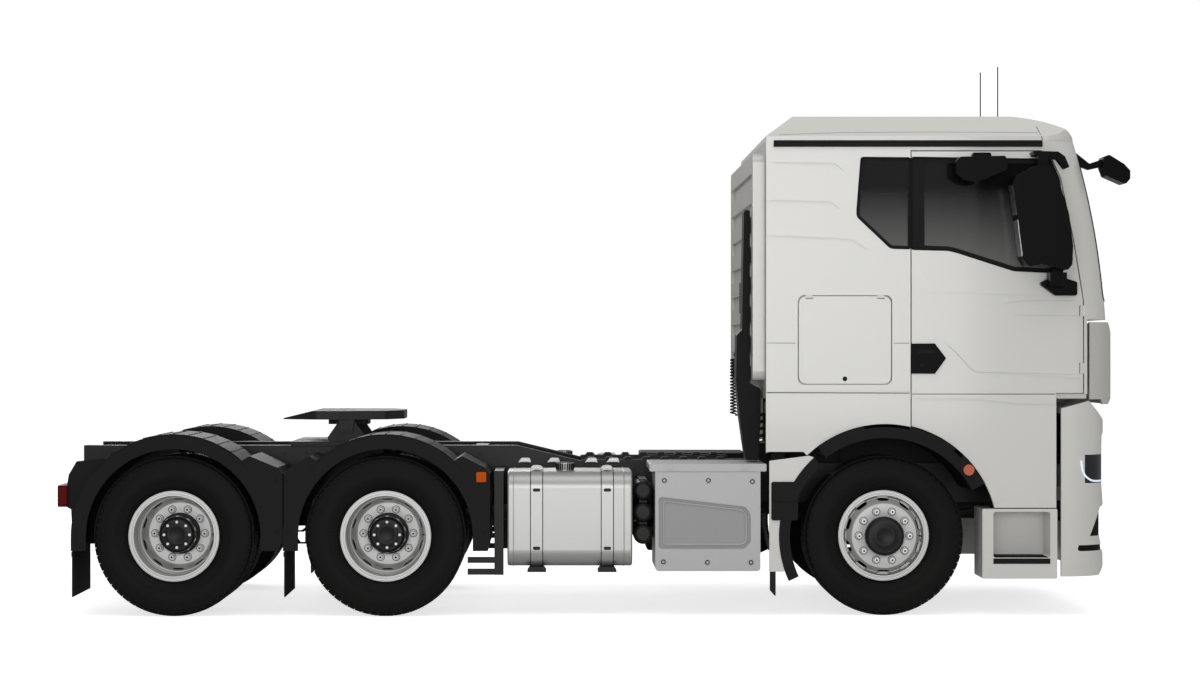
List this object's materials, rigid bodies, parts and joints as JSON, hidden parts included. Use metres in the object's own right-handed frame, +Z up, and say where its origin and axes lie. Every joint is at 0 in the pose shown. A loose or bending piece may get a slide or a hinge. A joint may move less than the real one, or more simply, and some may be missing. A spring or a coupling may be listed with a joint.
{
  "type": "semi truck tractor unit",
  "caption": "Cab-over semi truck tractor unit with a steered front axle, two twin-tyred rear axles and a fifth-wheel coupling behind a tilting cab.",
  "frame": {"origin": "on the ground at the middle of the vehicle's box", "axes": "+X forward, +Y to the vehicle's left, +Z up"},
  "size_m": [7.126, 3.02, 3.7197],
  "materials": {
    "white_paint": "gloss white enamel",
    "frame_paint": "black chassis paint",
    "engine_iron": "painted dark grey",
    "cast_black": "black painted casting",
    "cast_grey": "dark grey painted casting",
    "tank_aluminium": "brushed",
    "strap_steel": "satin",
    "box_silver": "silver paint",
    "wheel_steel": "silver wheel enamel",
    "tyre_rubber": "matt",
    "flap_rubber": "matt",
    "black_plastic": "fine grained",
    "dash_plastic": "grained",
    "seat_fabric": "woven",
    "window_glass": "clear, lightly tinted",
    "lamp_lens": "clear lens",
    "red_lens": "red lens",
    "orange_lens": "amber lens"
  },
  "bodies": {
    "chassis": {"frame": "frame_paint", "cab_mounts": "frame_paint", "engine": "engine_iron", "front_axle": "cast_black", "rear_axles": "cast_black", "fifth_wheel_mount": "cast_grey", "fuel_tanks": "tank_aluminium", "tank_straps": "strap_steel", "silencer_box": "box_silver", "battery_box": "box_silver", "rear_fenders": "black_plastic", "mud_flaps": "flap_rubber", "rear_lamps": "red_lens", "side_markers": "orange_lens", "air_tanks": "frame_paint", "front_bumper": "white_paint", "headlamps": "lamp_lens", "entry_steps": "white_paint", "front_mudguards": "black_plastic", "mudguard_panels": "white_paint"},
    "cab": {"cab_shell": "white_paint", "cab_roof": "white_paint", "cab_glass": "window_glass", "cab_trim": "black_plastic", "wheel_arches": "black_plastic", "arch_lamps": "orange_lens", "ramp_mirror": "black_plastic", "antennas": "black_plastic", "air_intake": "black_plastic", "dashboard": "dash_plastic", "steering_wheel": "dash_plastic", "seats": "seat_fabric", "bunk": "seat_fabric"},
    "front_flap": {"front_flap": "white_paint"},
    "fifth_wheel_plate": {"fifth_wheel_plate": "cast_black"},
    "door_right": {"door_right": "white_paint", "door_glass_right": "window_glass", "door_fittings_right": "black_plastic"},
    "locker_flap_right": {"locker_flap_right": "white_paint"},
    "knuckle_right": {"knuckle_right": "cast_black"},
    "front_wheel_right": {"front_wheel_right": "wheel_steel", "front_tyre_right": "tyre_rubber"},
    "mid_wheel_right": {"mid_wheel_right": "wheel_steel", "mid_tyres_right": "tyre_rubber"},
    "rear_wheel_right": {"rear_wheel_right": "wheel_steel", "rear_tyres_right": "tyre_rubber"},
    "door_left": {"door_left": "white_paint", "door_glass_left": "window_glass", "door_fittings_left": "black_plastic"},
    "locker_flap_left": {"locker_flap_left": "white_paint"},
    "knuckle_left": {"knuckle_left": "cast_black"},
    "front_wheel_left": {"front_wheel_left": "wheel_steel", "front_tyre_left": "tyre_rubber"},
    "mid_wheel_left": {"mid_wheel_left": "wheel_steel", "mid_tyres_left": "tyre_rubber"},
    "rear_wheel_left": {"rear_wheel_left": "wheel_steel", "rear_tyres_left": "tyre_rubber"}
  },
  "joints": [
    {"name": "cab_tilt", "type": "hinge", "parent": "chassis", "child": "cab", "pos_m": [3.219, 0, 1.28], "axis": [0, 1, 0], "range_deg": [0, 60]},
    {"name": "front_flap_lift", "type": "hinge", "parent": "cab", "child": "front_flap", "pos_m": [3.392, 0, 1.934], "axis": [0, -1, 0], "range_deg": [0, 75]},
    {"name": "fifth_wheel_tilt", "type": "hinge", "parent": "chassis", "child": "fifth_wheel_plate", "pos_m": [-1.723, 0, 1.238], "axis": [0, 1, 0], "range_deg": [-12, 12]},
    {"name": "door_right_swing", "type": "hinge", "parent": "cab", "child": "door_right", "pos_m": [3.202, -1.208, 1.8], "axis": [0, 0, 1], "range_deg": [0, 80]},
    {"name": "locker_right_lift", "type": "hinge", "parent": "cab", "child": "locker_flap_right", "pos_m": [1.638, -1.212, 2.108], "axis": [-1, 0, 0], "range_deg": [0, 80]},
    {"name": "steer_right", "type": "hinge", "parent": "chassis", "child": "knuckle_right", "pos_m": [1.902, -0.85, 0.53], "axis": [0, 0, 1], "range_deg": [-40, 40]},
    {"name": "front_wheel_right_roll", "type": "hinge", "parent": "knuckle_right", "child": "front_wheel_right", "pos_m": [1.902, -1.02, 0.53], "axis": [0, 1, 0], "continuous": true},
    {"name": "mid_wheel_right_roll", "type": "hinge", "parent": "chassis", "child": "mid_wheel_right", "pos_m": [-1.398, -0.9175, 0.53], "axis": [0, 1, 0], "continuous": true},
    {"name": "rear_wheel_right_roll", "type": "hinge", "parent": "chassis", "child": "rear_wheel_right", "pos_m": [-2.798, -0.9175, 0.53], "axis": [0, 1, 0], "continuous": true},
    {"name": "door_left_swing", "type": "hinge", "parent": "cab", "child": "door_left", "pos_m": [3.202, 1.208, 1.8], "axis": [0, 0, -1], "range_deg": [0, 80]},
    {"name": "locker_left_lift", "type": "hinge", "parent": "cab", "child": "locker_flap_left", "pos_m": [1.638, 1.212, 2.108], "axis": [1, 0, 0], "range_deg": [0, 80]},
    {"name": "steer_left", "type": "hinge", "parent": "chassis", "child": "knuckle_left", "pos_m": [1.902, 0.85, 0.53], "axis": [0, 0, 1], "range_deg": [-40, 40]},
    {"name": "front_wheel_left_roll", "type": "hinge", "parent": "knuckle_left", "child": "front_wheel_left", "pos_m": [1.902, 1.02, 0.53], "axis": [0, 1, 0], "continuous": true},
    {"name": "mid_wheel_left_roll", "type": "hinge", "parent": "chassis", "child": "mid_wheel_left", "pos_m": [-1.398, 0.9175, 0.53], "axis": [0, 1, 0], "continuous": true},
    {"name": "rear_wheel_left_roll", "type": "hinge", "parent": "chassis", "child": "rear_wheel_left", "pos_m": [-2.798, 0.9175, 0.53], "axis": [0, 1, 0], "continuous": true}
  ],
  "couplings": [
    {"joint": "steer_right", "follows": "steer_left", "ratio": 1}
  ]
}
